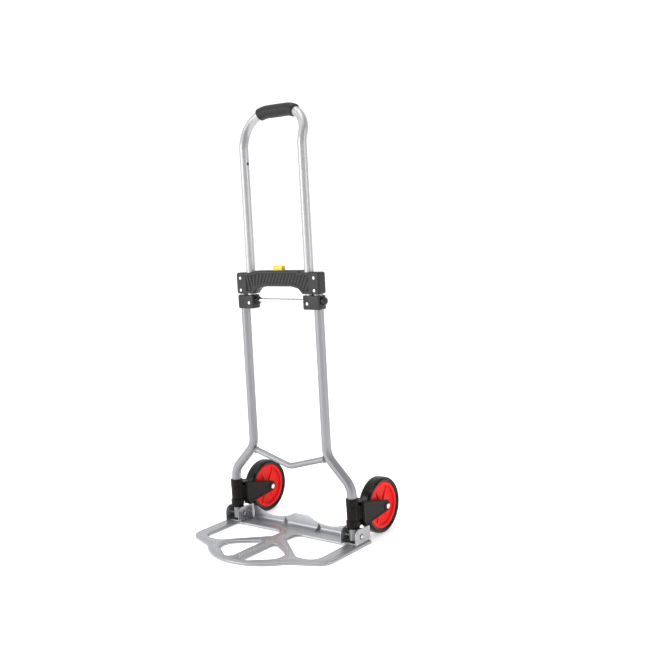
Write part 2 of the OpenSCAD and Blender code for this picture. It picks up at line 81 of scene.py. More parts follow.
# Faces that meet at a smaller angle than this are shaded smooth.
SMOOTH = 32


# ---- shapes: a shape is (vertices, faces), and shapes are joined into pieces ----

def moved(shape, matrix):
    """A copy of the shape, put through a matrix."""
    verts, faces = shape
    return [matrix @ Vector(v) for v in verts], faces


def at(x, y, z):
    return Matrix.Translation((x, y, z))


def turned(axis, degrees):
    return Matrix.Rotation(math.radians(degrees), 4, axis)


ALONG_X = turned("Y", 90)
# (a, b, c) of a flat outline to (c, a, b): outline in the YZ plane, thickness along X
IN_YZ = Matrix(((0, 0, 1, 0), (1, 0, 0, 0), (0, 1, 0, 0), (0, 0, 0, 1)))
# (a, b, c) to (a, -c, b): outline in the XZ plane, thickness towards -Y
IN_XZ = Matrix(((1, 0, 0, 0), (0, 0, -1, 0), (0, 1, 0, 0), (0, 0, 0, 1)))
MIRROR_X = Matrix.Diagonal((-1, 1, 1, 1))


def facing_x(s):
    """Turns height along +X where s is 1, and along -X where s is -1."""
    return ALONG_X if s > 0 else turned("Y", -90)


def placed(shapes, matrix):
    """Every shape moved. A (shape, material index) pair keeps its index."""
    return [(moved(s[0], matrix), s[1]) if isinstance(s[1], int) else moved(s, matrix) for s in shapes]


def piece(name, body, shapes, materials, replaces=(), smooth=SMOOTH):
    """One object from shapes. A shape may be (shape, material index)."""
    verts, faces, slots = [], [], []
    for entry in shapes:
        shape, index = entry if isinstance(entry[1], int) else (entry, 0)
        base = len(verts)
        verts += [Vector(v) * MM for v in shape[0]]
        faces += [[i + base for i in f] for f in shape[1]]
        slots += [index] * len(shape[1])
    mesh = bpy.data.meshes.new(name)
    mesh.from_pydata(verts, [], faces)
    mesh.polygons.foreach_set("material_index", slots)
    for m in materials:
        mesh.materials.append(m)
    bm = bmesh.new()
    bm.from_mesh(mesh)
    bmesh.ops.remove_doubles(bm, verts=bm.verts, dist=2e-7)
    bmesh.ops.dissolve_degenerate(bm, edges=bm.edges, dist=1e-7)
    bmesh.ops.recalc_face_normals(bm, faces=bm.faces)
    bm.to_mesh(mesh)
    bm.free()
    mesh.polygons.foreach_set("use_smooth", [True] * len(mesh.polygons))
    mesh.set_sharp_from_angle(angle=math.radians(smooth))
    obj = bpy.data.objects.new(name, mesh)
    bpy.context.scene.collection.objects.link(obj)
    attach(obj, body)
    if replaces:
        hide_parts(*replaces)
    return obj


def corner(a, b, c, n):
    """The points of corner b, rounded by its radius in n steps."""
    p, q, s = Vector(a[:2]), Vector(b[:2]), Vector(c[:2])
    u, v, r = (p - q).normalized(), (s - q).normalized(), b[2]
    half = math.acos(max(-1, min(1, u.dot(v)))) / 2
    r = max(r, 0.01)
    centre = q + (u + v).normalized() * r / math.sin(half)
    start = q + u * r / math.tan(half) - centre
    first = math.atan2(start.y, start.x)
    cross = -u.x * v.y + u.y * v.x
    sweep = math.copysign(math.pi - 2 * half, cross)
    return [centre + r * Vector((math.cos(first + sweep * i / n), math.sin(first + sweep * i / n)))
            for i in range(n + 1)]


def rounded(corners, n=6):
    """The points of an outline of (x, y, radius) corners."""
    k = len(corners)
    return [p for i in range(k) for p in corner(corners[i - 1], corners[i], corners[(i + 1) % k], n)]


def grown(corners, d):
    """The outline moved out by d, or in where d is negative. It runs anticlockwise."""
    out, k = [], len(corners)
    for i in range(k):
        a, b, c = (Vector(corners[j][:2]) for j in (i - 1, i, (i + 1) % k))
        e, f = (b - a).normalized(), (c - b).normalized()
        p, q = Vector((e.y, -e.x)), Vector((f.y, -f.x))
        spot = b + d * (p + q) / (1 + p.dot(q))
        turn = math.copysign(1, e.x * f.y - e.y * f.x)
        out.append((spot.x, spot.y, max(0, corners[i][2] + d * turn)))
    return out


def anticlockwise(corners):
    """The outline, turned round if it runs clockwise."""
    area = sum(a[0] * b[1] - b[0] * a[1] for a, b in zip(corners, corners[1:] + corners[:1]))
    return corners if area > 0 else corners[::-1]


def box_corners(x0, x1, y0, y1, r):
    """A rectangle with equal corner radii."""
    return [(x0, y0, r), (x1, y0, r), (x1, y1, r), (x0, y1, r)]


def loft(rings, closed=False, caps=False):
    """Quads between rings of equally many points."""
    n = len(rings[0])
    verts = [Vector(p) for ring in rings for p in ring]
    faces = []
    count = len(rings)
    for i in range(count if closed else count - 1):
        a, b = i * n, ((i + 1) % count) * n
        faces += [[a + k, a + (k + 1) % n, b + (k + 1) % n, b + k] for k in range(n)]
    if caps:
        faces += [list(range(n))[::-1], [(count - 1) * n + k for k in range(n)]]
    return verts, faces


def lift(outline, z):
    """A flat outline at height z."""
    return [Vector((p[0], p[1], z)) for p in outline]


def outset(corners, d, z, n):
    """The outline moved out by d, rounded and lifted to z."""
    return lift(rounded(grown(corners, d), n), z)


def filled(loops, z):
    """A flat face at z with holes: the first loop is its edge, the others its holes."""
    rings = [lift(loop, z) for loop in loops]
    return [p for ring in rings for p in ring], [list(t) for t in tessellate_polygon(rings)]


def slab(corners, z0, z1, n=6, edge=0.0):
    """An outline extruded along Z, with both rims rounded by edge."""
    rings = []
    steps = 3 if edge else 0
    for i in range(steps + 1):
        a = math.pi / 2 * i / max(1, steps)
        rings.append(outset(corners, -edge * (1 - math.sin(a)), z0 + edge * (1 - math.cos(a)), n))
    for i in range(steps + 1):
        a = math.pi / 2 * (1 - i / max(1, steps))
        rings.append(outset(corners, -edge * (1 - math.sin(a)), z1 - edge * (1 - math.cos(a)), n))
    shape = loft(rings)
    for ring in (rings[0], rings[-1]):
        base = len(shape[0])
        shape[0].extend(ring)
        shape[1].extend([[base + i for i in t] for t in tessellate_polygon([ring])])
    return shape


def block(x0, x1, y0, y1, z0, z1, r=0.0, edge=0.0):
    """A box, with its upright corners rounded by r and its rims by edge."""
    return slab(box_corners(x0, x1, y0, y1, r), z0, z1, 3 if r else 1, edge)


def lathe(profile, steps=72, closed=False):
    """Turned shape around Z from (radius, height) points; a radius of 0 closes it."""
    rings = [[Vector((r * math.cos(2 * math.pi * k / steps), r * math.sin(2 * math.pi * k / steps), h))
              for k in range(steps)] for r, h in profile]
    return loft(rings, closed)


def post(r, z0, z1, steps=48):
    """A closed cylinder along Z."""
    return lathe([(0, z0), (r, z0), (r, z1), (0, z1)], steps)


def arc(cx, cy, r, a0, a1, n=5):
    """Profile points on an arc, angles in degrees."""
    return [(cx + r * math.cos(math.radians(a0 + (a1 - a0) * i / n)),
             cy + r * math.sin(math.radians(a0 + (a1 - a0) * i / n))) for i in range(n + 1)]


def dome(r, h, z=0.0, crown=0.35, steps=40):
    """A rivet head standing on z."""
    side = h * crown
    points = [(r * 0.96, z), (r, z + side * 0.4)]
    points += [(r * math.cos(a), z + side + (h - side) * math.sin(a))
               for a in (i * math.pi / 16 for i in range(1, 9))]
    return lathe([(0, z)] + points, steps)


def frames(path):
    """Points, directions and two normals, which are carried steadily along the path."""
    out = []
    up = None
    for i, p in enumerate(path):
        a, b = path[max(0, i - 1)], path[min(len(path) - 1, i + 1)]
        t = (b - a).normalized()
        if up is None:
            up = t.orthogonal().normalized()
        up = (up - t * up.dot(t)).normalized()
        out.append((p, t, up, t.cross(up)))
    return out


def sweep(path, radii, steps=40, inner=None):
    """A round bar along a path, or a tube where inner is its bore."""
    rows = frames(path)
    radii = radii if isinstance(radii, list) else [radii] * len(rows)

    def ring(row, r):
        p, _, u, v = row
        return [p + r * (u * math.cos(2 * math.pi * k / steps) + v * math.sin(2 * math.pi * k / steps))
                for k in range(steps)]
    rings = [ring(row, r) for row, r in zip(rows, radii)]
    if inner is None:
        return loft(rings, caps=True)
    rings += [ring(row, inner) for row in reversed(rows)]
    return loft(rings, closed=True)


def bend_points(centre, r, a0, a1, step=3):
    """Points on an arc in the XZ plane, angles in degrees from +X towards +Z."""
    n = max(2, round(abs(a1 - a0) / step))
    return [Vector((centre[0] + r * math.cos(math.radians(a0 + (a1 - a0) * i / n)), 0,
                    centre[1] + r * math.sin(math.radians(a0 + (a1 - a0) * i / n)))) for i in range(n + 1)]


def mirrored(shape):
    verts, faces = moved(shape, MIRROR_X)
    return verts, [f[::-1] for f in faces]


def both(shape):
    """The shape and its mirror image."""
    return [shape, mirrored(shape)]


def on_side(shapes, side):
    """Shapes drawn for the right-hand side, put on the given side."""
    if side > 0:
        return shapes
    return [(mirrored(s[0]), s[1]) if isinstance(s[1], int) else mirrored(s) for s in shapes]


def cut(obj, shapes):
    """Takes closed shapes out of a piece."""
    for i, shape in enumerate(shapes):
        mesh = bpy.data.meshes.new(obj.name + "_cut")
        mesh.from_pydata([Vector(v) * MM for v in shape[0]], [], shape[1])
        bm = bmesh.new()
        bm.from_mesh(mesh)
        bmesh.ops.remove_doubles(bm, verts=bm.verts, dist=1e-7)
        bmesh.ops.recalc_face_normals(bm, faces=bm.faces)
        bm.to_mesh(mesh)
        bm.free()
        tool = bpy.data.objects.new("cutter", mesh)
        bpy.context.scene.collection.objects.link(tool)
        m = obj.modifiers.new(f"cut_{i}", "BOOLEAN")
        m.operation = "DIFFERENCE"
        m.solver = "EXACT"
        m.object = tool
        bpy.context.view_layer.update()
        depsgraph = bpy.context.evaluated_depsgraph_get()
        result = bpy.data.meshes.new_from_object(obj.evaluated_get(depsgraph))
        obj.modifiers.remove(m)
        obj.data = result
        bpy.data.objects.remove(tool)
    obj.data.polygons.foreach_set("use_smooth", [True] * len(obj.data.polygons))
    obj.data.set_sharp_from_angle(angle=math.radians(SMOOTH))
    return obj


# ---- materials ----

def principled(name, colour, rough, metallic=0.0, **sockets):
    """A material, its tree and its shader. Constants sit on the shader's own sockets."""
    mat = bpy.data.materials.new(name)
    mat.use_nodes = True
    tree = mat.node_tree
    shader = tree.nodes["Principled BSDF"]
    shader.inputs["Base Color"].default_value = (*colour, 1)
    shader.inputs["Roughness"].default_value = rough
    shader.inputs["Metallic"].default_value = metallic
    for key, value in sockets.items():
        shader.inputs[key.replace("_", " ")].default_value = value
    return mat, tree, shader


def noise(tree, scale, detail=3.0, stretch=(1, 1, 1), rough=0.5):
    """Noise in the object's own coordinates; stretch squeezes it along an axis."""
    coords = tree.nodes.new("ShaderNodeTexCoord")
    mapping = tree.nodes.new("ShaderNodeMapping")
    mapping.inputs["Scale"].default_value = stretch
    tree.links.new(coords.outputs["Object"], mapping.inputs["Vector"])
    n = tree.nodes.new("ShaderNodeTexNoise")
    n.inputs["Scale"].default_value = scale
    n.inputs["Detail"].default_value = detail
    n.inputs["Roughness"].default_value = rough
    tree.links.new(mapping.outputs["Vector"], n.inputs["Vector"])
    return n.outputs["Fac"]


def ramp(tree, source, stops):
    """A colour ramp through (position, colour) stops."""
    r = tree.nodes.new("ShaderNodeValToRGB")
    while len(r.color_ramp.elements) < len(stops):
        r.color_ramp.elements.new(0.5)
    for e, (pos, colour) in zip(r.color_ramp.elements, stops):
        e.position = pos
        e.color = (*colour, 1) if len(colour) == 3 else colour
    tree.links.new(source, r.inputs["Fac"])
    return r.outputs["Color"]


def map_range(tree, source, low, high, to_low, to_high):
    m = tree.nodes.new("ShaderNodeMapRange")
    for key, value in (("From Min", low), ("From Max", high), ("To Min", to_low), ("To Max", to_high)):
        m.inputs[key].default_value = value
    tree.links.new(source, m.inputs["Value"])
    return m.outputs["Result"]


def bump(tree, shader, source, strength, distance):
    b = tree.nodes.new("ShaderNodeBump")
    b.inputs["Strength"].default_value = strength
    b.inputs["Distance"].default_value = distance
    tree.links.new(source, b.inputs["Height"])
    tree.links.new(b.outputs["Normal"], shader.inputs["Normal"])


def shade(c, k):
    """The colour made k times as bright."""
    return tuple(max(0.0, min(1.0, x * k)) for x in c)


def worn(name, colour, rough, metallic=0.0, spread=0.12, patch=14, grain=900, grain_depth=0.00006,
         rough_spread=0.06, stretch=(1, 1, 1), grain_strength=0.3, **sockets):
    """Base recipe: slow patches in colour and gloss, and a fine grain in the surface."""
    mat, tree, shader = principled(name, colour, rough, metallic, **sockets)
    slow = noise(tree, patch, 4.0)
    stops = [(0.32, shade(colour, 1 - spread)), (0.5, colour), (0.7, shade(colour, 1 + spread))]
    tree.links.new(ramp(tree, slow, stops), shader.inputs["Base Color"])
    fine = noise(tree, grain, 2.0, stretch)
    gloss = noise(tree, patch * 4, 5.0)
    tree.links.new(map_range(tree, gloss, 0.3, 0.7, rough - rough_spread, rough + rough_spread),
                   shader.inputs["Roughness"])
    bump(tree, shader, fine, grain_strength, grain_depth)
    return mat


handle_paint = worn("handle_silver_paint", (0.50, 0.50, 0.51), 0.4, 0.7, spread=0.025, patch=9, grain=70,
                    grain_depth=0.000006, rough_spread=0.03)
frame_paint = worn("frame_silver_paint", (0.325, 0.325, 0.34), 0.42, 0.7, spread=0.03, patch=9, grain=70,
                   grain_depth=0.000006, rough_spread=0.03)
plate_paint = worn("plate_silver_paint", (0.385, 0.39, 0.41), 0.36, 0.7, spread=0.04, patch=16, grain=500,
                   grain_depth=0.00001, rough_spread=0.04, Coat_Weight=0.15, Coat_Roughness=0.25)
# lighter copy of the plate paint for the grip ribs: a painted highlight along them
ridge_highlight_paint = worn("plate_ridge_painted_highlight", (0.62, 0.625, 0.64), 0.3, 0.7, spread=0.12, patch=90, grain=700,
                 grain_depth=0.00001, rough_spread=0.05)
zinc = worn("zinc_plate", (0.40, 0.405, 0.42), 0.3, 0.85, spread=0.06, patch=60, grain=1500,
            grain_depth=0.00001, stretch=(1, 1, 12))
bright = worn("bright_steel", (0.72, 0.72, 0.73), 0.16, 1.0, spread=0.05, patch=80, grain=1800,
              grain_depth=0.00001, rough_spread=0.05)
turned_steel = worn("turned_steel", (0.66, 0.66, 0.68), 0.24, 0.95, spread=0.03, patch=30, grain=200,
                    grain_depth=0.000004, rough_spread=0.03, stretch=(14, 1, 1))
wire = worn("spring_wire", (0.55, 0.55, 0.56), 0.3, 1.0, spread=0.08, patch=120, grain=1500,
            grain_depth=0.00002)
black = worn("black_moulding", (0.021, 0.0195, 0.020), 0.42, spread=0.15, patch=22, grain=2300,
             grain_depth=0.0001, grain_strength=0.35, Specular_IOR_Level=0.4)
# darker copy of the black moulding for the sunk panel's floor: painted shade between the ribs
black_panel_shade = worn("black_moulding_painted_shade", (0.010, 0.0095, 0.0095), 0.5, spread=0.1, patch=22, grain=2300,
                  grain_depth=0.00008, Specular_IOR_Level=0.25)
black_smooth = worn("black_smooth_moulding", (0.015, 0.0142, 0.014), 0.32, spread=0.12, patch=24, grain=1600,
                    grain_depth=0.00004, Specular_IOR_Level=0.4)
fork_black = worn("fork_moulding", (0.0085, 0.0062, 0.005), 0.4, spread=0.15, patch=26, grain=2000,
                  grain_depth=0.0001, grain_strength=0.35, Specular_IOR_Level=0.16)
bush_plastic = worn("acetal", (0.05, 0.05, 0.05), 0.4, patch=60, grain=2000, grain_depth=0.00004)
yellow = worn("yellow_moulding", (0.86, 0.66, 0.03), 0.32, spread=0.05, patch=40, grain=2200,
              grain_depth=0.00005, Subsurface_Weight=0.05, Subsurface_Scale=0.002)
red = worn("red_moulding", (0.90, 0.007, 0.006), 0.38, spread=0.07, patch=30, grain=1800, grain_depth=0.00005,
           Specular_IOR_Level=0.15)


def tyre_rubber():
    colour = (0.0045, 0.0035, 0.003)
    mat, tree, shader = principled("tyre_rubber", colour, 0.2, Specular_IOR_Level=0.25)
    dust = noise(tree, 26, 6.0, rough=0.6)
    stops = [(0.35, shade(colour, 0.8)), (0.6, shade(colour, 1.25)), (0.78, (0.010, 0.0092, 0.0085))]
    tree.links.new(ramp(tree, dust, stops), shader.inputs["Base Color"])
    tree.links.new(map_range(tree, noise(tree, 70, 5.0), 0.3, 0.7, 0.16, 0.28), shader.inputs["Roughness"])
    bump(tree, shader, noise(tree, 1500, 3.0), 0.3, 0.00006)
    return mat


def foam():
    colour = (0.013, 0.0115, 0.0125)
    mat, tree, shader = principled("grip_foam", colour, 0.5, Specular_IOR_Level=0.35)
    coords = tree.nodes.new("ShaderNodeTexCoord")
    cells = tree.nodes.new("ShaderNodeTexVoronoi")
    cells.inputs["Scale"].default_value = 900
    tree.links.new(coords.outputs["Object"], cells.inputs["Vector"])
    stops = [(0.1, shade(colour, 1.5)), (0.55, colour), (0.85, shade(colour, 0.5))]
    tree.links.new(ramp(tree, cells.outputs["Distance"], stops), shader.inputs["Base Color"])
    tree.links.new(map_range(tree, noise(tree, 90, 4.0), 0.3, 0.7, 0.42, 0.56), shader.inputs["Roughness"])
    bump(tree, shader, cells.outputs["Distance"], 0.35, 0.0002)
    return mat


tyre_mat = tyre_rubber()
foam_mat = foam()


def finish_node(name, material):
    """A CAD node that stays takes the material on all its slots."""
    data = NODES[name].data
    if not data.materials:
        data.materials.append(material)
    for i in range(len(data.materials)):
        data.materials[i] = material


for name in ("button_spring", "pin_spring_left", "pin_spring_right", "fold_spring_left", "fold_spring_right"):
    finish_node(name, wire)
for name in ("lock_pin_left", "lock_pin_right", "axle_washers_left", "axle_washers_right"):
    finish_node(name, bright)
for name in ("guide_bushes", "hub_bush_left", "hub_bush_right"):
    finish_node(name, bush_plastic)
for name in ("fold_cam_left", "fold_cam_right"):
    finish_node(name, fork_black)


# ---- frame tubes, brace and handle ----

def frame_tube(side_name, side):
    """A lower tube, bent outwards above its foot."""
    z1, z2 = ANKLE_Z - TANGENT, SHOULDER_Z + TANGENT
    path = [Vector((FOOT_X, 0, z)) for z in (16, 60, 100, z1 - 3)]
    path += bend_points((FOOT_X - BEND_R, z1), BEND_R, 0, 45)
    path += bend_points((LOWER_X + BEND_R, z2), BEND_R, 225, 180)
    path += [Vector((LOWER_X, 0, z)) for z in (z2 + 3, 350, 450, 550, 708)]
    shape = sweep(path, TUBE_R, 56, BORE_R)
    piece("tube_" + side_name, "frame", on_side([shape], side), [frame_paint],
          ["frame_tube_" + side_name])


def frame_brace():
    """The V-shaped brace between the tubes, with its welds."""
    slope, r, z0 = math.radians(15.4), 38.0, 186.0
    reach = 118.5
    half = [Vector((x, 0, z0 + x * math.tan(slope))) for x in (reach + 1.5, 90, 50,
                                                               r * math.tan(slope / 2) + 8)]
    centre = z0 + r / math.cos(slope)
    path = half + [Vector((r * math.sin(a), 0, centre - r * math.cos(a)))
                   for a in (slope * (1 - i / 5) for i in range(11))]
    path += [Vector((-p.x, 0, p.z)) for p in reversed(half)]
    bar = sweep(path, 8.0, 40)
    # weld bead round each end, pressed against the tube
    beads = []
    end = Vector((reach - 1.0, 0, z0 + (reach - 1.0) * math.tan(slope)))
    ring = [end + Vector((-math.sin(slope) * 8.2 * math.sin(t) + abs(math.cos(t)) * 2.6, 8.2 * math.cos(t),
                          math.cos(slope) * 8.2 * math.sin(t)))
            for t in (2 * math.pi * k / 36 for k in range(37))]
    bead = sweep(ring, [1.7 + 0.25 * math.sin(k * 2.1) for k in range(37)], 10)
    beads += both(bead)
    piece("brace", "frame", [bar] + beads, [frame_paint], ["frame_brace"])


def bow(points):
    """From the bow's own leaning plane to the row frame."""
    origin = Vector((0, LEAN_R * (1 - math.cos(LEAN)), BOW_START + LEAN_R * math.sin(LEAN)))
    turn = Matrix.Rotation(-LEAN, 3, "X")
    return [origin + turn @ p for p in points]


def handle_tube():
    """The bow handle, with the lock holes."""
    leg = [Vector((UPPER_X, 0, z)) for z in (620, 700, 800, 900, 1000, BOW_START - 3)]
    n = 6
    leg += [Vector((UPPER_X, LEAN_R * (1 - math.cos(a)), BOW_START + LEAN_R * math.sin(a)))
            for a in (LEAN * i / n for i in range(n + 1))]
    top = bow(bend_points((BOW_HALF, BOW_LEG), BOW_R, 0, 90))
    top += bow([Vector((x, 0, BOW_LEG + BOW_R)) for x in (16, 0, -16)])
    top += bow(bend_points((-BOW_HALF, BOW_LEG), BOW_R, 90, 180))
    path = leg + top + [Vector((-p.x, p.y, p.z)) for p in reversed(leg)]
    tube = piece("handle_bow", "handle", [sweep(path, TUBE_R, 56, BORE_R)], [handle_paint],
                 ["handle_tube"])
    holes = []
    for z in (695, 1011):
        hole = moved(post(4.3, -8, 8, 32), at(UPPER_X - TUBE_R, 0, z) @ ALONG_X)
        holes += both(hole)
    cut(tube, holes)


def grip():
    """Foam sleeve along the bow's top, thicker in the middle and rolled over at its ends."""
    half_length, end_radius, swell, soft = 65, 17.35, 0.55, 5.0
    half_angle = math.degrees((half_length - BOW_HALF) / BOW_R)
    path = bend_points((BOW_HALF, BOW_LEG), BOW_R, 90 - half_angle, 90, 2)
    path += [Vector((x, 0, BOW_LEG + BOW_R)) for x in (24, 16, 8, 0, -8, -16, -24)]
    path += bend_points((-BOW_HALF, BOW_LEG), BOW_R, 90, 90 + half_angle, 2)
    path = bow(path)
    length = [0.0]
    for a, b in zip(path, path[1:]):
        length.append(length[-1] + (b - a).length)
    whole = length[-1]
    # closer points near the ends, so that the rounding is smooth
    stations = [0, 0.3, 0.9, 1.8, 3.0, 4.5, 6.5] + [8 + i * (whole - 16) / 30 for i in range(31)]
    stations += [whole - s for s in (6.5, 4.5, 3.0, 1.8, 0.9, 0.3, 0)]
    points, radii = [], []
    for s in stations:
        k = max(i for i, v in enumerate(length) if v <= s + 1e-9)
        k = min(k, len(path) - 2)
        t = (s - length[k]) / (length[k + 1] - length[k])
        points.append(path[k].lerp(path[k + 1], t))
        near = min(s, whole - s)
        full = end_radius + swell * math.sin(math.pi * s / whole)
        edge = 0.0 if near >= soft else soft - math.sqrt(soft * soft - (soft - near) ** 2)
        radii.append(max(TUBE_R + 0.15, full - edge))
    sleeve = piece("grip_sleeve", "handle", [sweep(points, radii, 72)], [foam_mat],
                   ["handle_grip"], smooth=60)


# ---- crossbar ----

HUMP_X, ROOF_Z, BAR_TOP, BAR_X, PAD_X = 76.0, 721.0, 716.0, 144.5, 110.0
# Depth of each half, the radius of its front edge, and the height of the sunk panel's floor
BAR_DEPTH, BAR_ROUND, PANEL_FLOOR = 15.5, 5.0, 14.0
BAR_RIVETS_Z = (668, 701)
# Border between the crossbar's outline and the panel
RIM = 6.5


def symmetric(half):
    """An outline from its left half, which runs back on the right."""
    return half + [(-x, z, r) for x, z, r in reversed(half)]


BAR = symmetric([(-HUMP_X, ROOF_Z, 4), (-HUMP_X - 7, BAR_TOP, 4), (-BAR_X, BAR_TOP, 6), (-BAR_X, BAR_Z, 6),
                 (-86, BAR_Z, 3.5), (-73, BAR_Z + 14, 16), (-48, BAR_Z + 20, 30)])
PANEL = symmetric([(-71, ROOF_Z - 7, 3), (-79, BAR_TOP - RIM, 3), (-PAD_X, BAR_TOP - RIM, 3),
                   (-PAD_X, BAR_Z + RIM, 3), (-89.5, BAR_Z + RIM, 2), (-77, BAR_Z + 20, 12),
                   (-49, BAR_Z + 26.5, 26)])


def clip(outline, p, q):
    """The stretches of line p-q inside a closed outline."""
    d = q - p
    hits = []
    for a, b in zip(outline, outline[1:] + outline[:1]):
        e = b - a
        den = d.x * e.y - d.y * e.x
        if abs(den) < 1e-9:
            continue
        w = a - p
        t = (w.x * e.y - w.y * e.x) / den
        s = (w.x * d.y - w.y * d.x) / den
        if 0 <= s < 1 and 0 <= t <= 1:
            hits.append(t)
    hits.sort()
    return [(hits[i], hits[i + 1]) for i in range(0, len(hits) - 1, 2)]


def ridge(a, b, half, base, top):
    """A low rib with a rounded back along a flat line, from base height to top."""
    d = (b - a).normalized()
    n = Vector((-d.y, d.x))
    section = [(-half, base), (-half * 0.72, top - (top - base) * 0.2), (-half * 0.3, top), (half * 0.3, top),
               (half * 0.72, top - (top - base) * 0.2), (half, base)]
    rings = []
    for p in (a, b):
        rings.append([Vector((p.x + n.x * s, p.y + n.y * s, z)) for s, z in section])
    return loft(rings, caps=True)


def crossbar_face():
    """Front half in the XZ plane, its depth as height: 0 at the seam, BAR_DEPTH at the front."""
    n = 8
    seam, side = 0.15, BAR_DEPTH - BAR_ROUND
    profile = [(0, seam), (0, side)]
    profile += [(BAR_ROUND * (1 - math.cos(a)), side + BAR_ROUND * math.sin(a))
                for a in (math.pi / 2 * i / 6 for i in range(1, 7))]
    rings = [outset(BAR, -d, z, n) for d, z in profile]
    edge = rounded(grown(BAR, -BAR_ROUND), n)
    lip = rounded(PANEL, n)
    panel = [lift(lip, BAR_DEPTH)]
    panel += [outset(PANEL, -d, z, n) for d, z in ((0.4, 15.38), (0.8, 15.0), (1.2, PANEL_FLOOR))]
    floor = rounded(grown(PANEL, -1.2), n)
    # the panel's floor takes the second, darker material: painted shade between the ribs
    shapes = [loft(rings), filled([edge, lip], BAR_DEPTH), loft(panel), (filled([floor], PANEL_FLOOR), 1),
              filled([rounded(BAR, n)], seam)]
    # flat pads round the rivets, a little proud
    pad = [(0, 15.0), (7.2, 15.0), (7.2, 15.4), (6.8, 15.7), (0, 15.7)]
    for s in (-1, 1):
        for z in BAR_RIVETS_Z:
            shapes.append(moved(lathe(pad, 40), at(s * LOWER_X, z, 0)))
    return shapes


def crossbar_ribs():
    """Ribs on the front panel, drawn as crossbar_face draws it: they lean over, the first ones fanned out."""
    shapes = []
    limit = rounded(grown(PANEL, -1.0), 8)
    for k in range(21):
        x = -PAD_X + 7 + 11.2 * k
        lean = math.radians(-13 if k < 2 else min(25, 6 + 5 * (k - 2)))
        slant = 40 * math.tan(lean)
        low, high = Vector((x - slant, BAR_Z - 5)), Vector((x + slant, BAR_Z + 75))
        for t0, t1 in clip(limit, low, high):
            a, b = low.lerp(high, t0), low.lerp(high, t1)
            if (b - a).length > 3:
                shapes.append(ridge(a, b, 3.7, 13.9, 15.3))
    return shapes


def crossbar():
    """Both shells, the ribs, the trim round the handle's tubes and the rivets."""
    # IN_XZ turns height towards -Y: the front
    shell = placed(crossbar_face(), IN_XZ)
    # the shells' second material darkens the panel's floor as painted shade
    front = piece("crossbar_front", "frame", shell, [black, black_panel_shade],
                  ["crossbar_front_shell"])
    spin = turned("Z", 180)
    back = placed(shell, spin)
    rear = piece("crossbar_rear", "frame", back, [black, black_panel_shade],
                 ["crossbar_rear_shell"])
    bores = []
    for s in (-1, 1):
        bores.append(moved(post(13.8, 650, 730), at(s * UPPER_X, 0, 0)))
        bores.append(moved(post(12.5, 650, 709), at(s * LOWER_X, 0, 0)))
    window = slab(box_corners(-17.4, 17.4, -7.9, 7.9, 3), 706, 730, 5)
    for shell_piece in (front, rear):
        cut(shell_piece, bores + [window])
    ribs = placed(crossbar_ribs(), IN_XZ)
    piece("crossbar_front_ribs", "frame", ribs, [black])
    piece("crossbar_rear_ribs", "frame", placed(ribs, spin), [black])
    # collars round the handle's tubes
    section = [(12.65, 700), (12.65, 715.2), (13.0, 715.6), (13.75, 715.6), (13.75, 700)]
    trim = [moved(lathe(section, 56, True), at(s * UPPER_X, 0, 0)) for s in (-1, 1)]
    piece("bar_top_trim", "frame", trim, [bush_plastic])
    heads = []
    for s in (-1, 1):
        for z in BAR_RIVETS_Z:
            for turn in (90, -90):
                heads.append(moved(dome(4.2, 1.7, 15.6), at(s * LOWER_X, 0, z) @ turned("X", turn)))
    piece("bar_rivets", "frame", heads, [bright], ["crossbar_rivets"])


def button():
    """The release button: cap, foot and the blades that draw the lock pins."""
    top, foot = 733.0, 716.0
    outline = box_corners(-17, 17, -7.5, 7.5, 3.2)
    rounds = ((0, foot), (0, top - 2.2), (0.25, top - 1.2), (0.8, top - 0.5), (1.7, top - 0.12), (3.2, top))
    rings = [outset(outline, -d, z, 6) for d, z in rounds]
    shapes = [loft(rings), filled([[(p.x, p.y) for p in rings[-1]]], top)]
    shapes.append(block(-20, 20, -9.6, 9.6, 715.2, 717.4, 1.5))
    for s in (-1, 1):
        blade = [(8, foot), (8, 689), (29, 689), (29, 704), (20, foot)]
        corners = [(s * x, z, 0.5) for x, z in (blade if s > 0 else blade[::-1])]
        shapes.append(moved(slab(anticlockwise(corners), -1.5, 1.5, 2), IN_XZ))
    # four grip lines across the top
    for x in (-9, -3, 3, 9):
        shapes.append(block(x - 0.6, x + 0.6, -4.6, 4.6, top - 0.3, top, 0.5))
    piece("button_cap", "button", shapes, [yellow], ["release_button"])


# ---- slide blocks, rod and knobs ----

def slide_blocks():
    """The blocks at the ends of the handle tube, and their rivet heads."""
    for name, side in SIDES.items():
        corners = [(87, 617, 4.0), (142.5, 617, 4.5), (142.5, 655, 4.0), (87, 655, 4.0)]
        shape = moved(slab(corners, -15, 15, 6, 3.4), IN_XZ)
        obj = piece("block_" + name, "handle", on_side([shape], side), [black_smooth],
                    ["slide_block_" + name])
        cut(obj, [moved(post(12.8, 600, 670), at(side * LOWER_X, 0, 0))])
    heads = []
    for s in (-1, 1):
        for turn in (90, -90):
            heads.append(moved(dome(4.4, 1.7, 14.9), at(s * UPPER_X, 0, 633) @ turned("X", turn)))
    piece("block_rivet_heads", "handle", heads, [bright], ["block_rivets"])


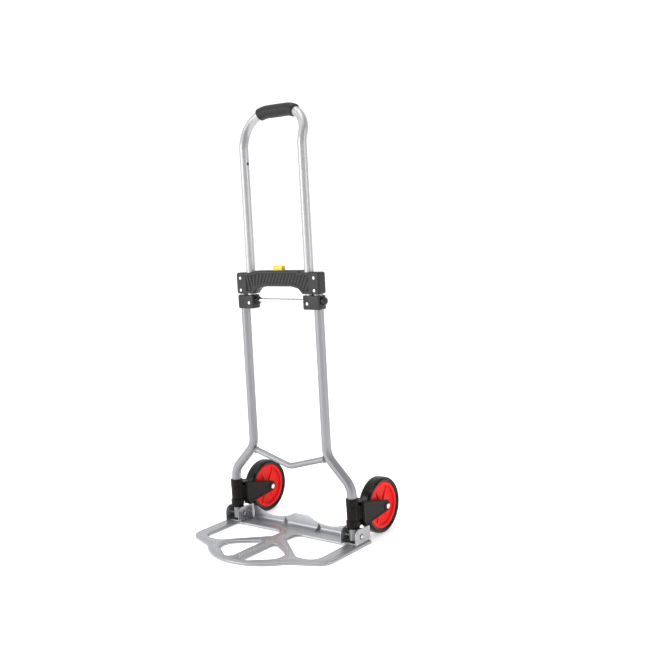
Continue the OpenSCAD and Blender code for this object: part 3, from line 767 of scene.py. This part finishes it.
def rod_and_knobs():
    """The rod between the blocks, the toothed boss on its left end and the knob on the right."""
    rod = moved(post(5.5, -87, 87), at(0, 0, ROD_Z) @ ALONG_X)
    piece("cord_rod", "handle", [rod], [turned_steel], ["hook_rod"])
    m = at(-76, 0, ROD_Z) @ facing_x(-1)
    boss = [moved(lathe([(5.6, 0.3), (7.2, 0.3), (7.6, 0.9), (7.6, 6), (10.0, 6.6), (10.5, 7.2), (10.5, 11),
                         (5.6, 11)], 48, True), m)]
    for i in range(6):
        boss.append(moved(block(6.6, 10.4, -3.2, 3.2, 0, 6.8, 0.8, 0.5), m @ turned("Z", 60 * i)))
    piece("rod_boss_toothed", "handle", boss, [black_smooth], ["rod_boss"])
    profile = [(0, -1), (9.6, -1), (9.6, 1.2), (10.5, 1.8)] + arc(5.5, 6.5, 5.0, 0, 82, 7)
    knob = moved(lathe(profile + [(3.0, 11.8), (2.4, 11.3), (0, 11.3)], 56), at(142.5, 0, ROD_Z) @ ALONG_X)
    piece("knob", "handle", [knob], [black_smooth], ["side_knob"])


# ---- toe plate ----

PLATE_X, PLATE_BACK = 234.0, 38.0
PLATE_TOP, PLATE_UNDER = 8.0, 6.0
# Steps in each rounded corner of the plate
PLATE_STEPS = 12
FLANGE_X = 176
PLATE = [(0, -322, 180), (139, -194, 80), (PLATE_X, -156, 42), (PLATE_X, PLATE_BACK, 4),
         (-PLATE_X, PLATE_BACK, 4), (-PLATE_X, -156, 42), (-139, -194, 80)]
REAR_OPENING = [(25, -16, 22), (25, -62, 12), (134, -153, 30), (192, -153, 28), (192, -16, 10)]
FRONT_OPENING = [(20, -100, 9), (20, -245, 14), (129, -170, 37)]


def flange(x):
    """Height of the wavy flange at x."""
    top = 42.0
    for c in (-94, 94):
        if abs(x - c) < 144:
            top = min(top, 24 + 144 - math.sqrt(144 ** 2 - (x - c) ** 2))
    end = FLANGE_X - abs(x)
    if end < 5:
        top -= 5 - math.sqrt(max(0.0, 25 - (5 - end) ** 2))
    return top


def plate_openings():
    """The outlines of the openings on both halves."""
    return [anticlockwise([(s * x, y, r) for x, y, r in corners])
            for corners in (REAR_OPENING, FRONT_OPENING) for s in (1, -1)]


def pressed_sheet(openings):
    """The plate with its turned-down edge and a bead inside it, and a raised lip round each opening."""
    n = PLATE_STEPS
    outer = [(2.0, 6.0), (2.0, 0.6), (1.4, 0.0), (0.5, 0.0), (0, 0.6), (0, 4.6), (0.35, 5.9), (1.1, 6.9),
             (2.4, 7.6), (4.0, 7.9), (6.0, 7.8), (7.4, 7.2), (8.6, 6.85), (9.8, 7.0), (11.0, 7.6),
             (12.4, 8.0)]
    shapes = [loft([outset(PLATE, -d, z, n) for d, z in outer])]
    edges = {"top": [rounded(grown(PLATE, -12.4), n)], "under": [rounded(grown(PLATE, -2.0), n)]}
    lip = [(2.0, 6.0), (2.0, 1.2), (1.5, 0.7), (0.5, 0.7), (0, 1.2), (0, 3.6), (0.35, 5.2), (1.1, 6.6),
           (2.2, 7.6), (3.4, 8.2), (4.6, 8.45), (5.8, 8.3), (7.0, 7.8), (8.0, 7.7), (9.2, 8.0)]
    for o in openings:
        shapes.append(loft([outset(o, d, z, n) for d, z in lip]))
        edges["top"].append(rounded(grown(o, 9.2), n))
        edges["under"].append(rounded(grown(o, 2.0), n))
    return shapes + [filled(edges["top"], PLATE_TOP), filled(edges["under"], PLATE_UNDER)]


def back_flange():
    """The flange along the back, bent up with a radius and cut in two dips."""
    rings = []
    for x in (-FLANGE_X + 2 * FLANGE_X * i / 120 for i in range(121)):
        top = flange(x)
        section = [(27.5, 7.6), (28.5, 8.0), (31.0, 8.35), (33.5, 9.6), (35.3, 12.0), (36.0, 15.0),
                   (36.0, top - 1.0), (36.3, top - 0.3), (37.0, top), (37.7, top - 0.3), (38.0, top - 1.0),
                   (38.0, 2.0), (36.0, 2.0), (30.0, 6.4)]
        rings.append([Vector((x, y, max(z, 2.0))) for y, z in section])
    return loft(rings, caps=True)


def dart(x):
    """A small gusset pressed across the flange's bend at x."""
    points = [(x, 36.4, 27.5), (x, 12.5, 7.8), (x - 6.5, 35.5, 13), (x + 6.5, 35.5, 13), (x - 5.5, 30, 8.1),
              (x + 5.5, 30, 8.1), (x - 1.1, 29.5, 17.2), (x + 1.1, 29.5, 17.2), (x - 0.6, 21.0, 12.0),
              (x + 0.6, 21.0, 12.0), (x, 36.4, 9), (x, 30, 7.6)]
    faces = [(0, 6, 2), (0, 3, 7), (0, 7, 6), (2, 6, 4), (3, 5, 7), (6, 8, 4), (7, 5, 9), (6, 7, 9, 8),
             (8, 1, 4), (9, 5, 1), (8, 9, 1)]
    return [Vector(p) for p in points], [list(f) for f in faces]


def without(stretches, h0, h1):
    """The stretches of a line, less the part from h0 to h1."""
    left = []
    for t0, t1 in stretches:
        if h1 <= t0 or h0 >= t1:
            left.append((t0, t1))
            continue
        if h0 > t0:
            left.append((t0, h0))
        if h1 < t1:
            left.append((h1, t1))
    return left


def grip_lines(openings):
    """Fine diagonal ribs on the spokes and the front, in the plate's second material, whose lighter colour is
    a painted highlight along the ribs.
    """
    shapes = []
    region = rounded(grown(PLATE, -17), PLATE_STEPS)
    holes = [rounded(grown(o, 10.5), PLATE_STEPS) for o in openings]
    pitch = 5.8
    c = -450.0
    while c < 130:
        low, high = Vector((-260, c + 260)), Vector((260, c - 260))
        keep = clip(region, low, high)
        for h in holes:
            for h0, h1 in clip(h, low, high):
                keep = without(keep, h0, h1)
        for t0, t1 in keep:
            for p, q in clipped_rows(low.lerp(high, t0), low.lerp(high, t1)):
                shapes.append((ridge(p, q, 1.0, 7.6, 8.8), 1))
        c += pitch
    return shapes


def toe_plate():
    """The pressed plate as one piece."""
    openings = plate_openings()
    shapes = pressed_sheet(openings) + [back_flange(), dart(-59), dart(59)] + grip_lines(openings)
    piece("plate", "toe_plate", shapes, [plate_paint, ridge_highlight_paint], ["toe_plate"], smooth=40)


def clipped_rows(a, b):
    """Keeps a grip line to the middle and the front of the plate."""
    zone = [Vector((-150, -225)), Vector((150, -225)), Vector((150, -150)), Vector((40, -26)),
            Vector((-40, -26)), Vector((-150, -150))]
    out = []
    for t0, t1 in clip(zone, a, b) or ([] if not inside(zone, a.lerp(b, 0.5)) else [(0, 1)]):
        p, q = a.lerp(b, t0), a.lerp(b, t1)
        if (q - p).length > 4:
            out.append((p, q))
    return out


def inside(outline, p):
    """Whether p lies inside the outline."""
    hit = False
    for a, b in zip(outline, outline[1:] + outline[:1]):
        if (a.y > p.y) != (b.y > p.y) and p.x < a.x + (b.x - a.x) * (p.y - a.y) / (b.y - a.y):
            hit = not hit
    return hit


# ---- clevises and hinge pins ----

# Outer face of an ear, from the foot's centre line
EAR_FACE = 24.4
EAR = [(-27, 8.2, 3), (39, 8.2, 0.5), (39, 47, 3), (-27, 50, 18)]


def clevises():
    """The brackets, their hinge pins with washers, and the rivets that hold them to the plate."""
    washer = [(4.0, 0.02), (7.6, 0.02), (7.6, 0.35), (7.2, 0.6), (4.0, 0.6)]
    for name, side in SIDES.items():
        shapes = []
        for x in (-EAR_FACE, EAR_FACE - 2):
            shapes.append(moved(slab(EAR, x, x + 2, 8, 0.5), at(FOOT_X, 0, 0) @ IN_YZ))
        shapes.append(block(FOOT_X - 23.5, FOOT_X + 23.5, -16, 38.5, 8.0, 10, 1.0, 0.4))
        shapes.append(block(FOOT_X - 24, FOOT_X + 24, 37, 39, 8.2, 35, 0.4, 0.4))
        # inner bend radii between the base, the web and the ears
        for s in (-1, 1):
            rings = []
            for y in (-15.5, 37.2):
                rings.append([Vector((FOOT_X + s * p, y, z)) for p, z in
                              ((22.6, 9.5), (22.6, 13), (21.9, 11.3), (20.9, 10.4), (19, 9.8))])
            shapes.append(loft(rings, caps=True))
            rings = []
            for z in (9.5, 34.6):
                rings.append([Vector((FOOT_X + s * p, y, z)) for p, y in
                              ((22.6, 37.3), (22.6, 33.5), (21.9, 35.3), (20.7, 36.5), (19, 37.2))])
            shapes.append(loft(rings, caps=True))
        piece("clevis_bracket_" + name, "toe_plate", on_side(shapes, side), [zinc],
              ["clevis_" + name])
        pin = [moved(post(4, -EAR_FACE, EAR_FACE, 40), at(FOOT_X, 0, PIN_Z) @ ALONG_X)]
        washers = []
        for s in (-1, 1):
            m = at(FOOT_X + s * EAR_FACE, 0, PIN_Z) @ facing_x(s)
            pin.append(moved(dome(5.2, 2.3, 0.1), m))
            washers.append((moved(lathe(washer, 48, True), m), 1))
            for y, z, r in ((-20, 13.5, 2.4), (33, 14, 2.6), (32, 43, 1.8)):
                pin.append(moved(dome(r, 0.9, 0.0), at(FOOT_X + s * EAR_FACE, y, z) @ facing_x(s)))
        piece("hinge_pin_set_" + name, "toe_plate", on_side(pin + washers, side), [bright, bush_plastic],
              ["hinge_pin_" + name])
    rivets = []
    for s in (-1, 1):
        for d in (-12, 12):
            rivets.append(moved(dome(4.2, 1.8, 10.0), at(s * FOOT_X + d, 28, 0)))
            rivets.append(moved(dome(4.2, 1.8, -6.0), at(s * FOOT_X + d, 28, 0) @ turned("X", 180)))
    piece("bracket_rivets", "toe_plate", rivets, [bright], ["clevis_rivets"])


# ---- collars and wheel forks ----

def collars():
    """The plastic collars above and below each fork."""
    for name, side in SIDES.items():
        top = [(12.5, 104), (16.2, 104), (16.8, 104.6), (16.8, 108.6), (16.3, 109.0), (16.3, 109.9),
               (16.8, 110.3), (16.8, 123.4), (16.5, 124.6), (15.6, 125.4), (14.4, 125.5), (13.6, 125.1),
               (12.9, 124.0), (12.5, 124.0)]
        shapes = [moved(lathe(top, 64, True), at(FOOT_X, 0, 0))]
        for a in (-140, -40, 50, 140):
            shapes.append(moved(block(15.2, 16.9, -1.6, 1.6, 112, 121, 0.6),
                                at(FOOT_X, 0, 0) @ turned("Z", a)))
        piece("top_collar_" + name, "frame", on_side(shapes, side), [fork_black],
              ["upper_collar_" + name])
        low = [(12.5, 46), (14.4, 46), (15.2, 46.5), (17.2, 51.5), (18.3, 53.2), (18.4, 54), (18.4, 58.6),
               (17.9, 59.0), (17.9, 59.9), (18.4, 60.3), (18.4, 66.8), (18.0, 67.6), (17.3, 68), (12.5, 68)]
        shapes = [moved(lathe(low, 64, True), at(FOOT_X, 0, 0))]
        cup = piece("cup_" + name, "frame", on_side(shapes, side), [fork_black],
                    ["lower_collar_" + name])
        teeth = []
        for i in range(10):
            notch = block(13.6, 22, -1.6, 1.6, 44, 48.6)
            teeth.append(moved(notch, at(side * FOOT_X, 0, 0) @ turned("Z", 36 * (i + 0.5))))
        cut(cup, teeth)


ARM = [(13, 62, 2), (20, 54, 2), (48, 54, 8), (133.5, 63.5, 12.2), (133.5, 88.5, 12.2), (13, 118, 3)]
# Inner face of an arm, from the foot's centre line
ARM_FACE = 19.2
ARM_PANEL = [(17, 64, 2), (23, 58.5, 2), (50, 59.5, 6), (108, 66, 3), (108, 88.5, 3), (17, 110.5, 3)]


def arm_shapes():
    """One arm lying in the YZ plane: outer face at 8.8, inner at 0."""
    n = 8
    rounds = [(0.8, 0), (0, 0.8), (0, 7.4), (0.4, 8.4), (1.4, 8.8)]
    rings = [outset(ARM, -d, z, n) for d, z in rounds]
    rim = rounded(grown(ARM, -1.4), n)
    lip = rounded(ARM_PANEL, n)
    floor = rounded(grown(ARM_PANEL, -1.4), n)
    panel = [lift(lip, 8.8), outset(ARM_PANEL, -0.4, 8.6, n), lift(floor, 7.8)]
    shapes = [loft(rings), filled([rim, lip], 8.8), loft(panel), filled([floor], 7.8),
              filled([rounded(grown(ARM, -0.8), n)], 0)]
    boss = [(0, 8.0), (13.2, 8.0), (13.2, 8.6), (12.6, 9.3), (11.4, 9.6), (8.2, 9.6), (7.6, 9.2), (0, 9.2)]
    shapes.append(moved(lathe(boss, 56), at(120, 76, 0)))
    return shapes


def forks():
    """The wheel forks and their axles."""
    for name, side in SIDES.items():
        here = at(FOOT_X, 0, 0)
        z0, z1 = 68.3, 103.7
        knuckle = [(12.7, z0), (15.4, z0), (16.2, z0 + 0.8), (16.2, 84.2), (15.8, 84.6), (15.8, 85.6),
                   (16.2, 86.0), (16.2, z1 - 0.8), (15.4, z1), (12.7, z1)]
        shapes = [moved(lathe(knuckle, 64, True), here)]
        # waist that widens in steps from the knuckle to the arms
        waist = [(-12, -4, 0.5), (12, -4, 0.5), (15.5, 5, 1), (17.0, 9, 1), (17.5, 13, 1.5), (25.5, 15.5, 2),
                 (25.5, 41.5, 0.5), (-25.5, 41.5, 0.5), (-25.5, 15.5, 2), (-17.5, 13, 1.5), (-17.0, 9, 1),
                 (-15.5, 5, 1)]
        shapes.append(moved(slab(waist, z0, z1, 3, 0.6), here))
        shapes.append(moved(block(-25, 25, 20.5, 41.5, 61, 111, 1.0, 0.5), here))
        shapes += [moved(s, here @ at(ARM_FACE, 0, 0) @ IN_YZ) for s in arm_shapes()]
        for verts, faces in arm_shapes():
            flipped = verts, [f[::-1] for f in faces]
            shapes.append(moved(flipped, here @ MIRROR_X @ at(ARM_FACE, 0, 0) @ IN_YZ))
        piece("fork_moulding_" + name, "fork_" + name, on_side(shapes, side), [fork_black],
              ["wheel_fork_" + name])
        heads = [moved(post(4, -AXLE_HALF, AXLE_HALF, 40), at(*AXLE) @ ALONG_X)]
        for s in (-1, 1):
            m = at(AXLE.x + s * AXLE_HALF, AXLE.y, AXLE.z) @ facing_x(s)
            heads.append(moved(dome(7.2, 3.0, 0.1, 0.45, 48), m))
        piece("axle_pin_" + name, "fork_" + name, on_side(heads, side), [bright],
              ["axle_" + name])


# ---- wheels ----

def wheels():
    """Tyres and rims."""
    for name, side in SIDES.items():
        m = at(*AXLE) @ ALONG_X
        half = [(62.0, 13.6), (63.2, 15.2), (64.8, 16.4), (67, 16.9), (68.6, 17.0), (69.2, 16.5),
                (69.8, 16.5), (70.4, 17.0), (71.4, 16.6), (73.0, 15.2), (74.2, 13.3), (74.8, 11.0),
                (75.0, 8.0), (75.0, 7.2), (74.4, 6.9), (74.4, 5.9), (75.0, 5.6), (75.0, 2.0)]
        profile = [(r, -x) for r, x in half] + [(r, x) for r, x in reversed(half)]
        profile += [(61.5, 13.0), (61.5, -13.0)]
        piece("tyre_band_" + name, "wheel_" + name, on_side([moved(lathe(profile, 128, True), m)], side),
              [tyre_mat], ["tyre_" + name], smooth=40)
        ring = [(61.8, 13.2), (61.4, 13.9), (60.7, 14.0), (53.8, 14.0), (53.0, 13.7), (52.6, 13.0),
                (51.8, 9.6), (51.0, 8.6), (49.8, 8.2), (16.5, 7.6), (14.8, 8.0), (13.8, 9.0), (13.2, 16.8),
                (12.6, 17.6), (11.6, 18.0), (7.6, 18.0), (7.0, 17.5)]
        profile = [(r, x) for r, x in ring] + [(r, -x) for r, x in reversed(ring)]
        shapes = [moved(lathe(profile, 112, True), m)]
        # radius, half width and height at places along a rib
        spoke = ((12.4, 2.2, 12.0), (20, 1.8, 10.6), (36, 1.6, 9.8), (46, 1.7, 10.0), (52.4, 2.2, 11.0))
        for i in range(6):
            for s in (-1, 1):
                # one rib, from the hub to the ring
                rings = []
                for r, w, h in spoke:
                    section = ((-w, 7.0), (-w, h - 0.5), (-w + 0.5, h), (w - 0.5, h), (w, h - 0.5), (w, 7.0))
                    rings.append([Vector((r, y, s * z)) for y, z in section])
                rib = loft(rings, caps=True)
                shapes.append(moved(rib, m @ turned("Z", 60 * i + 30)))
        piece("wheel_centre_" + name, "wheel_" + name, on_side(shapes, side), [red],
              ["rim_" + name], smooth=34)


for name, side in SIDES.items():
    frame_tube(name, side)
frame_brace()
handle_tube()
grip()
crossbar()
button()
slide_blocks()
rod_and_knobs()
toe_plate()
clevises()
collars()
forks()
wheels()


# ---- floor, light and camera ----

def floor():
    mesh = bpy.data.meshes.new("floor")
    s = 30.0
    mesh.from_pydata([(-s, -s, 0), (s, -s, 0), (s, s, 0), (-s, s, 0)], [], [(0, 1, 2, 3)])
    obj = bpy.data.objects.new("floor", mesh)
    bpy.context.scene.collection.objects.link(obj)
    mat, tree, shader = principled("floor_pale", (0.9, 0.9, 0.9), 0.9, Specular_IOR_Level=0.1,
                                   Emission_Color=(1, 1, 1, 1), Emission_Strength=0.5)
    tree.links.new(map_range(tree, noise(tree, 3, 2.0), 0.3, 0.7, 0.85, 0.95), shader.inputs["Roughness"])
    mesh.materials.append(mat)
    obj.location.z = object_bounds()[0][2]
    obj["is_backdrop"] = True


def area_light(name, place, target, size, power):
    light = bpy.data.lights.new(name, "AREA")
    light.shape = "RECTANGLE"
    light.size, light.size_y = size
    light.energy = power
    obj = bpy.data.objects.new(name, light)
    obj.location = place
    obj.rotation_euler = (Vector(target) - Vector(place)).to_track_quat("-Z", "Y").to_euler()
    bpy.context.scene.collection.objects.link(obj)


def surroundings():
    """The room that lights the truck, its white backdrop, and three soft lights."""
    world = bpy.data.worlds.new("studio")
    bpy.context.scene.world = world
    world.use_nodes = True
    tree = world.node_tree
    back = tree.nodes["Background"]
    # a white cove behind the truck and a dim room in front of it
    coords = tree.nodes.new("ShaderNodeTexCoord")
    split = tree.nodes.new("ShaderNodeSeparateXYZ")
    turn = tree.nodes.new("ShaderNodeMapping")
    turn.inputs["Rotation"].default_value = (0, 0, math.radians(-55))
    tree.links.new(coords.outputs["Generated"], turn.inputs["Vector"])
    tree.links.new(turn.outputs["Vector"], split.inputs["Vector"])
    tree.links.new(ramp(tree, map_range(tree, split.outputs["Y"], -1, 1, 0, 1),
                        [(0.26, (0.30, 0.30, 0.305)), (0.66, (1.0, 1.0, 1.0))]), back.inputs["Color"])
    back.inputs["Strength"].default_value = 1.05
    # seen directly the room is a white backdrop from every side
    white = tree.nodes.new("ShaderNodeBackground")
    white.inputs["Color"].default_value = (1, 1, 1, 1)
    white.inputs["Strength"].default_value = 1.2
    path = tree.nodes.new("ShaderNodeLightPath")
    pick = tree.nodes.new("ShaderNodeMixShader")
    tree.links.new(path.outputs["Is Camera Ray"], pick.inputs["Fac"])
    tree.links.new(back.outputs["Background"], pick.inputs[1])
    tree.links.new(white.outputs["Background"], pick.inputs[2])
    tree.links.new(pick.outputs["Shader"], tree.nodes["World Output"].inputs["Surface"])
    area_light("key", (-2.6, -4.6, 1.9), (0, 0, 0.5), (2.6, 3.2), 105)
    area_light("side", (4.0, 0.6, 1.4), (0, 0, 0.5), (0.4, 2.6), 30)
    area_light("top", (0.0, -1.0, 4.6), (0, 0, 0.3), (3.0, 3.0), 62)


def camera():
    """The photograph's viewpoint: to the right of the front, a little above the middle, rolled slightly."""
    data = bpy.data.cameras.new("photo_view")
    data.sensor_width = 36.0
    focal_length, picture_width = 951.7, 670
    data.lens = focal_length / picture_width * data.sensor_width
    data.shift_y = -0.0777
    obj = bpy.data.objects.new("photo_view", data)
    azimuth, pitch, roll = math.radians(37.21), math.radians(4.10), math.radians(-3.02)
    obj.matrix_world = (Matrix.Translation((1.6589, -1.9405, 0.8615)) @ Matrix.Rotation(azimuth, 4, "Z")
                        @ Matrix.Rotation(math.pi / 2 - pitch, 4, "X") @ Matrix.Rotation(roll, 4, "Z"))
    bpy.context.scene.collection.objects.link(obj)
    bpy.context.scene.camera = obj


floor()
surroundings()
camera()
bpy.context.scene.view_settings.view_transform = "Standard"
